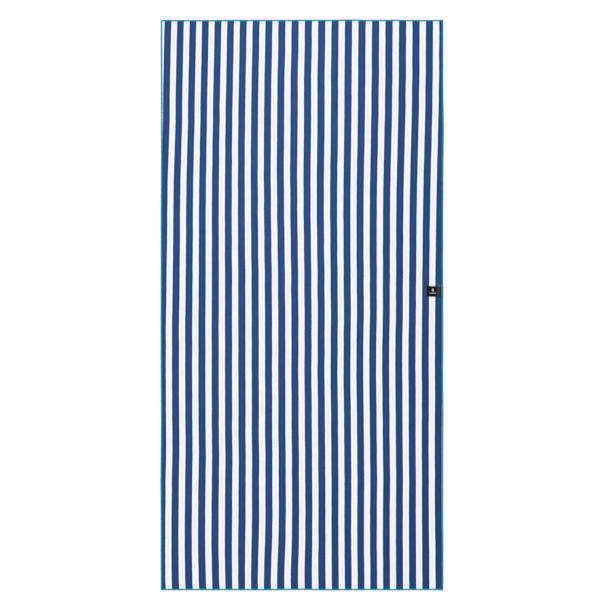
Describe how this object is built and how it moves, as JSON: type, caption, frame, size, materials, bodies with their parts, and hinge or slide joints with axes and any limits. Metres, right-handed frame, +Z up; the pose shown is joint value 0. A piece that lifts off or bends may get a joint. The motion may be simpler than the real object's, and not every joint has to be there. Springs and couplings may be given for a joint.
{
  "type": "beach towel",
  "caption": "Flat rectangular beach towel with lengthwise stripes, an overlocked edging on every side and a small folded tape label in one long edge.",
  "frame": {"origin": "centre of the outline, on the surface that the towel lies on", "axes": "+X across the stripes towards the edge with the label, +Y along the stripes towards the end nearer the label, +Z up out of the printed face"},
  "size_m": [0.7942, 1.6014, 0.0034],
  "materials": {
    "cloth": "printed suede-finish microfibre, blue and white stripes of equal width, soft and matt",
    "edging_thread": "teal polyester overlock thread, slightly glossy",
    "label_tape": "black woven satin tape"
  },
  "bodies": {
    "root": {"towel_cloth": "cloth", "edging_bottom": "edging_thread", "edging_right": "edging_thread", "edging_top": "edging_thread", "edging_left": "edging_thread", "side_label": "label_tape"}
  },
  "joints": []
}
